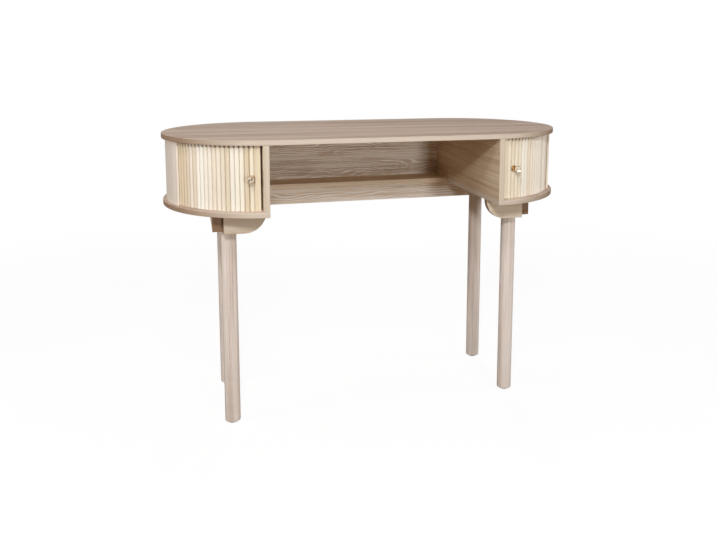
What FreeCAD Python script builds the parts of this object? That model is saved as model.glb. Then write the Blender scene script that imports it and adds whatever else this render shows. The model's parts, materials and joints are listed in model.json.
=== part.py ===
import FreeCAD, Part
import math
import os

# Tambour desk: two half-round cabinets with sliding tambour doors under one long top, on four round legs.
# Driving dimensions are in millimetres. X runs along the desk, Y to the rear, Z up, and the floor is Z = 0.

# Top and cabinets
desk_length = 1100.0
desk_depth = 520.0
desk_height = 760.0
top_thickness = 13.0
bottom_thickness = 13.0
cabinet_clear_height = 161.5
cabinet_width = 254.0
side_thickness = 15.0
side_setback = 0.5
board_easing = 1.5
frame_easing = 1.0
wood_fit = 0.15

# Bent end panels, from the doorway round the end to the back
doorway_deg = 62.0
panel_setback = 9.5
panel_thickness = 5.0
panel_tongue = 3.0

# Tambour doors
door_clearance = 0.8
slat_pitch = 12.0
slat_gap = 0.3
slat_depth = 8.0
slat_edge = 3.2
slat_overlap_deg = 2.0
lead_width = 15.0
lead_depth = 7.2
lead_easing = 2.0
tongue_setback = 0.5
tongue_thickness = 3.0
tongue_relief = 0.5
groove_depth = 5.0
groove_play = 0.5
groove_floor_gap = 0.3
groove_head_gap = 1.0
canvas_thickness = 0.8
canvas_margin = 6.0
canvas_bond_gap = 0.03
left_door_gap = 3.8
right_door_gap = 0.8
left_knob_reach = 21.0
right_knob_reach = 33.0
stop_length = 12.0
stop_height = 15.0

# Knobs with turned collars and cut heads, and their screws
knob_projection = 26.0
knob_flange_diameter = 17.0
knob_flange_thickness = 2.5
knob_neck_diameter = 8.0
knob_cup_height = 3.0
knob_cup_diameter = 12.0
knob_collar_length = 12.0
knob_head_diameter = 20.0
knob_rim_height = 17.0
knob_rim_width = 1.5
knob_face_diameter = 11.0
knob_facets = 8
knob_screw_diameter = 4.0
knob_screw_head_diameter = 8.0
knob_screw_head_thickness = 2.4
knob_screw_bite = 9.0
knob_screw_fit = 0.2
knob_easing = 0.6
knob_edge_clearance = 2.0

# Knee bay: a narrow shelf level with the cabinets' bottoms and a back panel that stands on it
shelf_depth = 108.0
shelf_rear_setback = 28.0
back_thickness = 12.0

# Underframe
leg_diameter = 40.0
leg_from_side = 78.0
leg_flat_offset = 9.0
leg_from_rail_end = 41.5
foot_easing = 3.0
rail_width = 32.0
rail_height = 50.0
rail_end_setback = 98.0
bracket_thickness = 17.0
bracket_height = 54.0
bracket_reveal = 1.0
bracket_rail_lap = 5.0
glide_diameter = 26.0
glide_thickness = 3.0
glide_pin_diameter = 5.0
glide_pin_length = 10.0

# Screws, dowels and bolts
hole_fit = 0.1
screw_diameter = 4.5
screw_head_diameter = 9.0
side_screw_bite = 32.0
frame_screw_bite = 26.0
leg_screw_bite = 20.0
leg_screw_offset = 10.0
fastener_end_distance = 65.0
bracket_screw_inset = 14.0
top_dowel_diameter = 8.0
top_dowel_bite = 22.0
back_dowel_diameter = 6.0
back_dowel_bite = 14.0
shelf_dowel_inset = 15.0
dowel_cover = 4.0
leg_bolt_diameter = 8.0
leg_bolt_bite = 35.0

# Places worked out from the dimensions above
end_radius = desk_depth / 2
end_centre = desk_length / 2 - end_radius
top_under = desk_height - top_thickness
bottom_face = top_under - cabinet_clear_height
bottom_under = bottom_face - bottom_thickness
knee_half = desk_length / 2 - cabinet_width
side_outer = knee_half + side_thickness
side_middle = knee_half + side_thickness / 2
side_half_depth = desk_depth / 2 - side_setback

panel_outer_radius = end_radius - panel_setback
panel_inner_radius = panel_outer_radius - panel_thickness
crest_radius = panel_inner_radius - door_clearance
base_radius = crest_radius - slat_depth
pitch_rad = slat_pitch / crest_radius
pitch_deg = math.degrees(pitch_rad)
slat_width = base_radius * pitch_rad - slat_gap
tongue_inner_radius = base_radius + tongue_setback
tongue_outer_radius = tongue_inner_radius + tongue_thickness
groove_inner_radius = tongue_inner_radius - groove_play
groove_outer_radius = tongue_outer_radius + groove_play
canvas_outer_radius = base_radius - canvas_bond_gap
canvas_inner_radius = canvas_outer_radius - canvas_thickness
groove_floor = bottom_face - groove_depth
slat_bottom = bottom_face + door_clearance
slat_top = top_under - door_clearance
tongue_bottom = groove_floor + groove_floor_gap
tongue_top = top_under + groove_depth - groove_head_gap
knob_height = (slat_bottom + slat_top) / 2
knob_screw_seat = math.sqrt(canvas_inner_radius**2 - (knob_screw_head_diameter / 2) ** 2)

shelf_rear = desk_depth / 2 - shelf_rear_setback
shelf_front = shelf_rear - shelf_depth
shelf_middle_height = (bottom_under + bottom_face) / 2
back_front = shelf_rear - back_thickness
back_middle = (back_front + shelf_rear) / 2

leg_radius = leg_diameter / 2
leg_x = side_outer + leg_from_side
rail_inner = leg_x + leg_flat_offset
rail_outer = rail_inner + rail_width
rail_under = bottom_under - rail_height
rail_half_length = desk_depth / 2 - rail_end_setback
leg_y = rail_half_length - leg_from_rail_end
bracket_inner = knee_half + bracket_reveal
bracket_outer = rail_inner + bracket_rail_lap
bracket_middle_y = rail_half_length + bracket_thickness / 2
up = FreeCAD.Vector(0, 0, 1)
down = FreeCAD.Vector(0, 0, -1)


def block(x0, x1, y0, y1, z0, z1):
    """Box between two opposite corners."""
    return Part.makeBox(x1 - x0, y1 - y0, z1 - z0, FreeCAD.Vector(x0, y0, z0))


def mirrored(shape):
    """The same piece on the left of the desk."""
    return shape.mirror(FreeCAD.Vector(0, 0, 0), FreeCAD.Vector(1, 0, 0))


def to_rear(shape):
    """The same piece behind the desk's long centre line."""
    return shape.mirror(FreeCAD.Vector(0, 0, 0), FreeCAD.Vector(0, 1, 0))


def turned(shape, angle_deg):
    """A piece of the right cabinet, moved round the end's upright axis; 0 degrees is the front."""
    copy = shape.copy()
    copy.rotate(FreeCAD.Vector(end_centre, 0, 0), up, angle_deg)
    return copy


def end_point(radius, angle_deg, z):
    """Point of the right cabinet at a radius and angle about the end's upright axis."""
    angle = math.radians(angle_deg)
    return FreeCAD.Vector(end_centre + radius * math.sin(angle), -radius * math.cos(angle), z)


def ring_sector(inner, outer, from_deg, to_deg, z0, z1):
    """Curved wall about the right end's axis, between two radii and two angles."""
    middle_deg = (from_deg + to_deg) / 2
    outer_start = end_point(outer, from_deg, z0)
    outer_end = end_point(outer, to_deg, z0)
    inner_start = end_point(inner, from_deg, z0)
    inner_end = end_point(inner, to_deg, z0)
    edges = [
        Part.Arc(outer_start, end_point(outer, middle_deg, z0), outer_end).toShape(),
        Part.LineSegment(outer_end, inner_end).toShape(),
        Part.Arc(inner_end, end_point(inner, middle_deg, z0), inner_start).toShape(),
        Part.LineSegment(inner_start, outer_start).toShape(),
    ]
    return Part.Face(Part.Wire(edges)).extrude(up * (z1 - z0))


def stadium(z0, z1):
    """Slab with the desk's outline: straight long sides and half-round ends, with eased edges."""
    front_left = FreeCAD.Vector(-end_centre, -end_radius, z0)
    front_right = FreeCAD.Vector(end_centre, -end_radius, z0)
    rear_right = FreeCAD.Vector(end_centre, end_radius, z0)
    rear_left = FreeCAD.Vector(-end_centre, end_radius, z0)
    right_tip = FreeCAD.Vector(desk_length / 2, 0, z0)
    left_tip = FreeCAD.Vector(-desk_length / 2, 0, z0)
    edges = [
        Part.LineSegment(front_left, front_right).toShape(),
        Part.Arc(front_right, right_tip, rear_right).toShape(),
        Part.LineSegment(rear_right, rear_left).toShape(),
        Part.Arc(rear_left, left_tip, front_left).toShape(),
    ]
    slab = Part.Face(Part.Wire(edges)).extrude(up * (z1 - z0))
    level_edges = [edge for edge in slab.Edges if edge.BoundBox.ZLength < hole_fit]
    return slab.makeFillet(board_easing, level_edges)


def rod(diameter, start, direction, length, clearance=0.0):
    """Plain dowel or bolt from a point along a direction; a clearance makes the hole for it."""
    back = start - direction * clearance
    return Part.makeCylinder(diameter / 2 + clearance, length + 2 * clearance, back, direction)


def screw(face_point, direction, length, clearance=0.0):
    """Countersunk screw with its head flush at a point; a clearance makes the hole for it."""
    head_radius = screw_head_diameter / 2 + clearance
    shank_radius = screw_diameter / 2 + clearance
    head = Part.makeCone(head_radius, shank_radius, head_radius - shank_radius, face_point, direction)
    shank = Part.makeCylinder(shank_radius, length + clearance, face_point, direction)
    return head.fuse(shank).removeSplitter()


def cut_all(shape, tools):
    """A piece with every hole and groove cut."""
    return shape.cut(Part.makeCompound(tools))


def panel_end_angle():
    """Angle at which the bent panel's end meets the inner side's face."""
    reach = side_outer + wood_fit - end_centre
    return 180 - math.degrees(math.asin(reach / panel_inner_radius))


def lead_angle(gap):
    """Angle of the lead rail's middle when its nearest corner is a gap away from the inner side's face."""
    half = lead_width / 2
    reach = side_outer + gap - end_centre
    angles = []
    for radius in (base_radius, base_radius + lead_depth):
        corner = math.hypot(radius, half)
        angles.append(math.asin(reach / corner) + math.atan2(half, radius))
    return math.degrees(max(angles))


# Fastener rows: each is a list of (start point, direction, length) on the right or over the whole desk
row_y = side_half_depth - fastener_end_distance
top_dowel_length = top_dowel_bite + top_thickness - dowel_cover
top_dowel_rows = [
    (FreeCAD.Vector(side_middle, y, top_under - top_dowel_bite), up, top_dowel_length)
    for y in (-row_y, 0.0, row_y)
]
side_screw_rows = [
    (FreeCAD.Vector(side_middle, y, bottom_under), up, bottom_thickness + side_screw_bite)
    for y in (-row_y, 0.0, row_y)
]
bracket_screw_rows = [
    (FreeCAD.Vector(x, y, bottom_face), down, bottom_thickness + frame_screw_bite)
    for x in (bracket_inner + bracket_height, bracket_outer - bracket_screw_inset)
    for y in (-bracket_middle_y, bracket_middle_y)
]
rail_screw_rows = [
    (FreeCAD.Vector((rail_inner + rail_outer) / 2, y, bottom_face), down, bottom_thickness + frame_screw_bite)
    for y in (-leg_y / 2, leg_y / 2)
]
shelf_screw_rows = [
    (FreeCAD.Vector(x, back_middle, bottom_under), up, bottom_thickness + frame_screw_bite)
    for x in (knee_half / 5, knee_half * 4 / 5)
]
shelf_end_dowel_rows = [
    (
        FreeCAD.Vector(knee_half - back_dowel_bite, y, shelf_middle_height),
        FreeCAD.Vector(1, 0, 0),
        2 * back_dowel_bite,
    )
    for y in (shelf_front + shelf_dowel_inset, shelf_rear - shelf_dowel_inset)
]
shelf_rail_dowel_rows = [
    (
        FreeCAD.Vector(x, bracket_middle_y, bottom_under - back_dowel_bite),
        up,
        back_dowel_bite + bottom_thickness - dowel_cover,
    )
    for x in (knee_half / 5, knee_half * 3 / 5)
]
leg_screw_rows = [
    (
        FreeCAD.Vector(rail_outer, y + offset, bottom_under - rail_height / 2),
        FreeCAD.Vector(-1, 0, 0),
        rail_width + leg_screw_bite,
    )
    for y in (-leg_y, leg_y)
    for offset in (-leg_screw_offset, leg_screw_offset)
]
leg_bolt_length = leg_bolt_bite + bottom_thickness - dowel_cover
leg_bolt_rows = [
    (FreeCAD.Vector(leg_x, y, bottom_under - leg_bolt_bite), up, leg_bolt_length)
    for y in (-leg_y, leg_y)
]
back_dowel_length = back_dowel_bite + side_thickness - dowel_cover
back_dowel_step = (top_under - bottom_face) / 3
back_dowel_rows = [
    (
        FreeCAD.Vector(knee_half - back_dowel_bite, back_middle, bottom_face + back_dowel_step * step),
        FreeCAD.Vector(1, 0, 0),
        back_dowel_length,
    )
    for step in (1, 2)
]


def screws(rows, clearance=0.0):
    """All the screws of some rows, or the holes for them."""
    return [screw(start, direction, length, clearance) for start, direction, length in rows]


def rods(diameter, rows, clearance=0.0):
    """All the dowels or bolts of some rows, or the holes for them."""
    return [rod(diameter, start, direction, length, clearance) for start, direction, length in rows]


def both_sides(shapes):
    """Some pieces of the right half together with the same pieces on the left."""
    return shapes + [mirrored(shape) for shape in shapes]


class Door:
    """Angles of one tambour door, taken on the right cabinet."""

    def __init__(self, gap, knob_reach):
        lead_half_deg = math.degrees(math.atan2(lead_width / 2, base_radius))
        slat_half_deg = pitch_deg / 2
        self.lead_deg = lead_angle(gap)
        self.first_deg = self.lead_deg + lead_half_deg + slat_half_deg
        span = doorway_deg + slat_overlap_deg - (self.first_deg - slat_half_deg)
        self.count = math.ceil(span / pitch_deg)
        self.tail_deg = self.first_deg + pitch_deg * self.count - slat_half_deg
        slats_before_knob = round((knob_reach - lead_width) / slat_pitch - 0.5)
        self.knob_deg = self.first_deg + pitch_deg * slats_before_knob
        knob_room = knob_flange_diameter / 2 + knob_edge_clearance
        self.travel_deg = doorway_deg - self.knob_deg - math.degrees(knob_room / panel_inner_radius)
        self.stop_deg = self.tail_deg + self.travel_deg
        self.stop_end_deg = self.stop_deg + math.degrees(stop_length / tongue_inner_radius)


left_door = Door(left_door_gap, left_knob_reach)
right_door = Door(right_door_gap, right_knob_reach)


def cabinet_grooves(door, panel_z0, panel_z1, track_z0, track_z1):
    """Grooves of the right cabinet for the bent panel and for the tambour's tongues."""
    fit_deg = math.degrees(wood_fit / panel_inner_radius)
    panel_groove = ring_sector(
        panel_inner_radius - wood_fit,
        panel_outer_radius + wood_fit,
        doorway_deg - fit_deg,
        panel_end_angle() + fit_deg,
        panel_z0,
        panel_z1,
    )
    track_start = math.degrees(math.asin((side_outer - end_centre) / groove_outer_radius))
    track = ring_sector(
        groove_inner_radius, groove_outer_radius, track_start, door.stop_end_deg, track_z0, track_z1
    )
    return [panel_groove, track]


def top_board():
    panel_top = top_under + panel_tongue
    track_top = top_under + groove_depth
    tools = cabinet_grooves(right_door, top_under, panel_top, top_under, track_top)
    left_tools = cabinet_grooves(left_door, top_under, panel_top, top_under, track_top)
    tools += [mirrored(tool) for tool in left_tools]
    tools += both_sides(rods(top_dowel_diameter, top_dowel_rows, hole_fit))
    return cut_all(stadium(top_under, desk_height), tools)


def bottom_board(door):
    """Right cabinet's bottom, cut off straight under the knee side of the inner side."""
    slab = stadium(bottom_under, bottom_face)
    half = block(knee_half, desk_length, -desk_depth, desk_depth, bottom_under, bottom_face)
    tools = cabinet_grooves(door, bottom_face - panel_tongue, bottom_face, groove_floor, bottom_face)
    tools += screws(side_screw_rows + bracket_screw_rows + rail_screw_rows, hole_fit)
    tools += rods(back_dowel_diameter, shelf_end_dowel_rows, hole_fit)
    tools += rods(leg_bolt_diameter, leg_bolt_rows, hole_fit)
    return cut_all(slab.common(half), tools)


def inner_side():
    board = block(knee_half, side_outer, -side_half_depth, side_half_depth, bottom_face, top_under)
    upright_edges = [edge for edge in board.Edges if edge.BoundBox.ZLength > side_thickness]
    board = board.makeFillet(frame_easing, upright_edges)
    tools = rods(top_dowel_diameter, top_dowel_rows, hole_fit)
    tools += rods(back_dowel_diameter, back_dowel_rows, hole_fit)
    tools += screws(side_screw_rows, hole_fit)
    return cut_all(board, tools)


def end_panel():
    return ring_sector(
        panel_inner_radius,
        panel_outer_radius,
        doorway_deg,
        panel_end_angle(),
        bottom_face - panel_tongue + wood_fit,
        top_under + panel_tongue - wood_fit,
    )


def back_panel():
    board = block(-knee_half, knee_half, back_front, shelf_rear, bottom_face, top_under)
    tools = rods(back_dowel_diameter, back_dowel_rows, hole_fit)
    tools += screws(shelf_screw_rows, hole_fit)
    return cut_all(board, both_sides(tools))


def centre_shelf():
    board = block(-knee_half, knee_half, shelf_front, shelf_rear, bottom_under, bottom_face)
    front_edges = [edge for edge in board.Edges if edge.BoundBox.YMax < shelf_front + hole_fit]
    long_edges = [edge for edge in front_edges if edge.BoundBox.XLength > knee_half]
    board = board.makeFillet(board_easing, long_edges)
    tools = rods(back_dowel_diameter, shelf_end_dowel_rows + shelf_rail_dowel_rows, hole_fit)
    tools += screws(shelf_screw_rows, hole_fit)
    return cut_all(board, both_sides(tools))


def rail():
    board = block(rail_inner, rail_outer, -rail_half_length, rail_half_length, rail_under, bottom_under)
    low_edges = [edge for edge in board.Edges if edge.BoundBox.ZMax < rail_under + hole_fit]
    outer_edges = [edge for edge in low_edges if edge.BoundBox.XMin > rail_outer - hole_fit]
    board = board.makeFillet(frame_easing, outer_edges)
    return cut_all(board, screws(rail_screw_rows + leg_screw_rows, hole_fit))


def front_bracket():
    """Board with a quarter-round inner end."""
    bottom = bottom_under - bracket_height
    y = -rail_half_length - bracket_thickness
    round_centre = bracket_inner + bracket_height
    diagonal = bracket_height * math.sqrt(0.5)
    start = FreeCAD.Vector(bracket_inner, y, bottom_under)
    bulge = FreeCAD.Vector(round_centre - diagonal, y, bottom_under - diagonal)
    foot = FreeCAD.Vector(round_centre, y, bottom)
    low_end = FreeCAD.Vector(bracket_outer, y, bottom)
    high_end = FreeCAD.Vector(bracket_outer, y, bottom_under)
    edges = [
        Part.Arc(start, bulge, foot).toShape(),
        Part.LineSegment(foot, low_end).toShape(),
        Part.LineSegment(low_end, high_end).toShape(),
        Part.LineSegment(high_end, start).toShape(),
    ]
    board = Part.Face(Part.Wire(edges)).extrude(FreeCAD.Vector(0, bracket_thickness, 0))
    face_edges = [edge for edge in board.Edges if edge.BoundBox.YLength < hole_fit]
    hanging_edges = [edge for edge in face_edges if edge.BoundBox.ZMin < bottom_under - frame_easing]
    board = board.makeFillet(frame_easing, hanging_edges)
    return cut_all(board, screws(bracket_screw_rows, hole_fit))


def rear_rail():
    """Long board behind the rear legs, from one side rail to the other, which carries the shelf."""
    front = rail_half_length
    bottom = bottom_under - bracket_height
    board = block(-bracket_outer, bracket_outer, front, front + bracket_thickness, bottom, bottom_under)
    low_edges = [edge for edge in board.Edges if edge.BoundBox.ZMax < bottom + hole_fit]
    long_edges = [edge for edge in low_edges if edge.BoundBox.XLength > bracket_outer]
    board = board.makeFillet(frame_easing, long_edges)
    tools = screws(bracket_screw_rows, hole_fit)
    tools += rods(back_dowel_diameter, shelf_rail_dowel_rows, hole_fit)
    return cut_all(board, both_sides(tools))


def front_leg():
    """Round leg with a flat on its top end, which seats on the rail."""
    post = Part.makeCylinder(
        leg_radius, bottom_under - glide_thickness, FreeCAD.Vector(leg_x, -leg_y, glide_thickness)
    )
    foot_edges = [edge for edge in post.Edges if edge.BoundBox.ZMax < glide_thickness + hole_fit]
    post = post.makeFillet(foot_easing, foot_edges)
    flat = block(rail_inner, rail_outer, -desk_depth, 0, rail_under, bottom_under)
    tools = [flat, glide_pin(hole_fit)]
    tools += screws(leg_screw_rows, hole_fit)
    tools += rods(leg_bolt_diameter, leg_bolt_rows, hole_fit)
    return cut_all(post, tools)


def glide_pin(clearance=0.0):
    """Pin of the front foot glide, or the hole for it."""
    start = FreeCAD.Vector(leg_x, -leg_y, glide_thickness)
    return rod(glide_pin_diameter, start, up, glide_pin_length, clearance)


def front_glide():
    disc = Part.makeCylinder(glide_diameter / 2, glide_thickness, FreeCAD.Vector(leg_x, -leg_y, 0))
    return disc.fuse(glide_pin()).removeSplitter()


def tongued(body, width):
    """A slat's body with its two tongues, at the front of the right cabinet."""
    half = width / 2 - tongue_relief
    x0 = end_centre - half
    x1 = end_centre + half
    lower = block(x0, x1, -tongue_outer_radius, -tongue_inner_radius, tongue_bottom, slat_bottom)
    upper = block(x0, x1, -tongue_outer_radius, -tongue_inner_radius, slat_top, tongue_top)
    return body.fuse([lower, upper]).removeSplitter()


def half_round_slat():
    """Slat with a flat back and a round face."""
    x0 = end_centre - slat_width / 2
    x1 = end_centre + slat_width / 2
    edge_y = -base_radius - slat_edge
    back_left = FreeCAD.Vector(x0, -base_radius, slat_bottom)
    back_right = FreeCAD.Vector(x1, -base_radius, slat_bottom)
    edge_right = FreeCAD.Vector(x1, edge_y, slat_bottom)
    edge_left = FreeCAD.Vector(x0, edge_y, slat_bottom)
    crest = FreeCAD.Vector(end_centre, -crest_radius, slat_bottom)
    edges = [
        Part.LineSegment(back_left, back_right).toShape(),
        Part.LineSegment(back_right, edge_right).toShape(),
        Part.Arc(edge_right, crest, edge_left).toShape(),
        Part.LineSegment(edge_left, back_left).toShape(),
    ]
    body = Part.Face(Part.Wire(edges)).extrude(up * (slat_top - slat_bottom))
    return tongued(body, slat_width)


def lead_rail(door):
    """Flat-faced first slat of a door."""
    x0 = end_centre - lead_width / 2
    x1 = end_centre + lead_width / 2
    face = -base_radius - lead_depth
    body = block(x0, x1, face, -base_radius, slat_bottom, slat_top)
    face_edges = [edge for edge in body.Edges if edge.BoundBox.YMax < face + hole_fit]
    upright_edges = [edge for edge in face_edges if edge.BoundBox.ZLength > lead_width]
    body = body.makeFillet(lead_easing, upright_edges)
    return turned(tongued(body, lead_width), door.lead_deg)


def knob_screw(clearance=0.0):
    """Pan-head screw from behind the canvas into the knob, at the front of the right cabinet."""
    head_face = FreeCAD.Vector(end_centre, -knob_screw_seat + knob_screw_head_thickness, knob_height)
    forward = FreeCAD.Vector(0, -1, 0)
    length = crest_radius + knob_screw_bite - knob_screw_seat + knob_screw_head_thickness
    head_radius = knob_screw_head_diameter / 2
    head = Part.makeCylinder(head_radius, knob_screw_head_thickness, head_face, forward)
    head_edges = [edge for edge in head.Edges if edge.BoundBox.YMin > head_face.y - hole_fit]
    head = head.makeFillet(knob_easing, head_edges)
    shank = rod(knob_screw_diameter, head_face, forward, length, clearance)
    if clearance:
        return shank
    return head.fuse(shank).removeSplitter()


def slats(door):
    """All the half-round slats of a door, one of them drilled for the knob screw."""
    plain = half_round_slat()
    row = [turned(plain, door.first_deg + pitch_deg * number) for number in range(door.count)]
    hole = turned(knob_screw(knob_screw_fit), door.knob_deg)
    return [slat.cut(hole) for slat in row]


def canvas(door):
    """Cloth backing glued to the slats."""
    tail_deg = door.tail_deg - pitch_deg / 2
    cloth = ring_sector(
        canvas_inner_radius,
        canvas_outer_radius,
        door.lead_deg,
        tail_deg,
        slat_bottom + canvas_margin,
        slat_top - canvas_margin,
    )
    return cloth.cut(turned(knob_screw(knob_screw_fit), door.knob_deg))


def knob_point(radius, angle_deg, height):
    """Point round a knob's axis, a height out from the slat's crest, at the front of the right cabinet."""
    angle = math.radians(angle_deg)
    x = end_centre + radius * math.cos(angle)
    return FreeCAD.Vector(x, -crest_radius - height, knob_height + radius * math.sin(angle))


def knob_collar(door):
    """Turned collar of a knob: a flange on the slat, a neck and a cup for the head."""
    flange = knob_flange_diameter / 2
    neck = knob_neck_diameter / 2
    cup = knob_cup_diameter / 2
    cup_start = knob_collar_length - knob_cup_height
    outline = [
        (0, 0),
        (flange, 0),
        (flange, knob_flange_thickness - knob_easing),
        (flange - knob_easing, knob_flange_thickness),
        (neck, knob_flange_thickness + knob_easing),
        (neck, cup_start),
        (cup, knob_collar_length - knob_easing),
        (cup, knob_collar_length),
        (0, knob_collar_length),
        (0, 0),
    ]
    profile = Part.Face(Part.makePolygon([knob_point(radius, 0, height) for radius, height in outline]))
    body = profile.revolve(knob_point(0, 0, 0), FreeCAD.Vector(0, -1, 0), 360)
    return turned(body.cut(knob_screw(hole_fit)), door.knob_deg)


def knob(door):
    """Cut head of a knob: flat facets that widen from the cup to a rim and narrow to a flat face."""
    levels = [
        (knob_cup_diameter / 2, knob_collar_length),
        (knob_head_diameter / 2, knob_rim_height),
        (knob_head_diameter / 2, knob_rim_height + knob_rim_width),
        (knob_face_diameter / 2, knob_projection),
    ]
    step = 360 / knob_facets
    rings = [
        [knob_point(radius, step * (number + 0.5), height) for number in range(knob_facets)]
        for radius, height in levels
    ]
    faces = [Part.Face(Part.makePolygon(ring + ring[:1])) for ring in (rings[0], rings[-1])]
    for low, high in zip(rings, rings[1:]):
        for number in range(knob_facets):
            after = (number + 1) % knob_facets
            corners = [low[number], low[after], high[after], high[number], low[number]]
            faces.append(Part.Face(Part.makePolygon(corners)))
    return turned(Part.makeSolid(Part.makeShell(faces)), door.knob_deg)


def door_stop(door):
    """Block in the bottom groove behind the door's tail."""
    return ring_sector(
        groove_inner_radius + wood_fit,
        groove_outer_radius - wood_fit,
        door.stop_deg,
        door.stop_end_deg,
        groove_floor,
        groove_floor + stop_height,
    )


def door_nodes(side, door, place):
    """The pieces of one door, placed on its side of the desk."""
    return {
        side + "_lead_rail": [place(lead_rail(door))],
        side + "_slats": [place(slat) for slat in slats(door)],
        side + "_canvas": [place(canvas(door))],
        side + "_knob": [place(knob(door))],
        side + "_knob_collar": [place(knob_collar(door))],
        side + "_knob_screw": [place(turned(knob_screw(), door.knob_deg))],
        side + "_door_stop": [place(door_stop(door))],
    }


def cabinet_nodes(side, door, place):
    """The fixed pieces of one cabinet and its half of the underframe."""
    nodes = {
        side + "_bottom_board": [place(bottom_board(door))],
        side + "_inner_side": [place(inner_side())],
        side + "_end_panel": [place(end_panel())],
        side + "_rail": [place(rail())],
        "front_" + side + "_bracket": [place(front_bracket())],
    }
    for name, piece in (("leg", front_leg()), ("glide", front_glide())):
        nodes["front_" + side + "_" + name] = [place(piece)]
        nodes["rear_" + side + "_" + name] = [place(to_rear(piece))]
    return nodes


def fastener_nodes():
    """Groups of like fasteners."""
    return {
        "top_dowels": both_sides(rods(top_dowel_diameter, top_dowel_rows)),
        "side_screws": both_sides(screws(side_screw_rows)),
        "bracket_screws": both_sides(screws(bracket_screw_rows)),
        "rail_screws": both_sides(screws(rail_screw_rows)),
        "shelf_screws": both_sides(screws(shelf_screw_rows)),
        "shelf_dowels": both_sides(rods(back_dowel_diameter, shelf_end_dowel_rows + shelf_rail_dowel_rows)),
        "panel_dowels": both_sides(rods(back_dowel_diameter, back_dowel_rows)),
        "leg_bolts": both_sides(rods(leg_bolt_diameter, leg_bolt_rows)),
        "leg_screws": both_sides(screws(leg_screw_rows)),
    }


def unmoved(shape):
    """A piece of the right cabinet, left where it was made."""
    return shape


nodes = {
    "top_board": [top_board()],
    "back_panel": [back_panel()],
    "centre_shelf": [centre_shelf()],
    "rear_rail": [rear_rail()],
}
nodes.update(cabinet_nodes("left", left_door, mirrored))
nodes.update(cabinet_nodes("right", right_door, unmoved))
nodes.update(door_nodes("left", left_door, mirrored))
nodes.update(door_nodes("right", right_door, unmoved))
nodes.update(fastener_nodes())

os.makedirs("parts", exist_ok=True)
for name, solids in nodes.items():
    shape = solids[0] if len(solids) == 1 else Part.makeCompound(solids)
    shape.exportStep("parts/" + name + ".step")
for side, door in (("left", left_door), ("right", right_door)):
    print(side, "door: slats", door.count, "lead", round(door.lead_deg, 2), "tail", round(door.tail_deg, 2))
    print(side, "door: knob", round(door.knob_deg, 2), "travel", round(door.travel_deg, 2))
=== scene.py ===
"""Looks of the tambour desk: limed oak boards, half-round birch slats, ash legs and cut glass knobs."""

import json
import math

import bmesh
import bpy
from mathutils import Matrix, Vector


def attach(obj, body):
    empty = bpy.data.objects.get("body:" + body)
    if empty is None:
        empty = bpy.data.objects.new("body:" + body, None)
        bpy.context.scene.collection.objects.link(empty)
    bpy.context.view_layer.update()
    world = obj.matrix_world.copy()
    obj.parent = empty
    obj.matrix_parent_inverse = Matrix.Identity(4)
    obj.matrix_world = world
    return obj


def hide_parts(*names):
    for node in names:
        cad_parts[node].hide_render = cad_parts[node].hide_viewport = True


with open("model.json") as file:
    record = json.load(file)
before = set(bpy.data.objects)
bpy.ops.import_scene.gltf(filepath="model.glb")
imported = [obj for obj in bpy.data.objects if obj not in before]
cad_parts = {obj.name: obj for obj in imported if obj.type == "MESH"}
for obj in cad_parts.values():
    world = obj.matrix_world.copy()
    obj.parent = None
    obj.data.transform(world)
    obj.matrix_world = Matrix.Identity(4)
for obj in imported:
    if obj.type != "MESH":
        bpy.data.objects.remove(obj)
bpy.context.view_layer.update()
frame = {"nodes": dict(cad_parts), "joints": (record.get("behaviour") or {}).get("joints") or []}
nodes = frame["nodes"]
MM = 0.001
AXES = "XYZ"
UP = Vector((0, 0, 1))
SIDES = ("left", "right")
CORNERS = ("front_left", "front_right", "rear_left", "rear_right")

# Camera of the photograph, in metres, radians and pixels of its frame
FRAME_WIDTH_PX = 716
CAMERA_PLACE = Vector((-0.48025, -1.95082, 0.95100))
CAMERA_YAW = 0.25878
CAMERA_PITCH = 0.13182
CAMERA_ROLL = 0.00219
FOCAL_PX = 716.83
CENTRE_SHIFT_X_PX = 19.04
CENTRE_SHIFT_Y_PX = -116.0
SENSOR_MM = 36.0

# Most of a noise's values lie between these two
NOISE_LOW = 0.3
NOISE_HIGH = 0.7

# Oak: each noise's length with the grain and width across it in mm, its detail, and its share of the tone
OAK_LAYERS = {
    "tone": (1200.0, 70.0, 1.0, 0.30),
    "streak": (520.0, 9.0, 2.0, 0.35),
    "fibre": (190.0, 2.4, 3.0, 0.35),
}
OAK_NOISE_ROUGHNESS = 0.55
# Growth rings: their spacing, the length and width of the noise that bends them, and by how many rings
OAK_RING_MM = 6.0
OAK_WAVER_MM = (300.0, 80.0)
OAK_WAVER_RINGS = 14.0
# A ring's line starts at this height of its wave, and lime fills it more as the fibre's noise rises
RING_LINE_FROM = 0.4
RING_FILL_LOW = 0.35
RING_FILL_HIGH = 0.65
# Open pores are about 0.3 mm wide; they are drawn four times as coarse, so that they show
OAK_PORE_MM = (26.0, 1.2)
PORE_FROM = 0.58
PORE_FULL = 0.74
PORE_LIME_SHARE = 0.45

# Edges: how square to an axis a face has to be, the banding's streaks, and how far edges take their tone
SQUARE_ENOUGH = 0.7
BAND_STREAK_MM = 2.0
BAND_SHARE = 0.6
END_GRAIN = "#764A24"
END_GRAIN_SHARE = 0.75
# The banding turns browner from a place past the middle of each round end, over a length
BENT_BAND = "#8E6E50"
BENT_SHARE = 0.78
BEND_START_MM = 50.0
BEND_LENGTH_MM = 160.0

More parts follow.
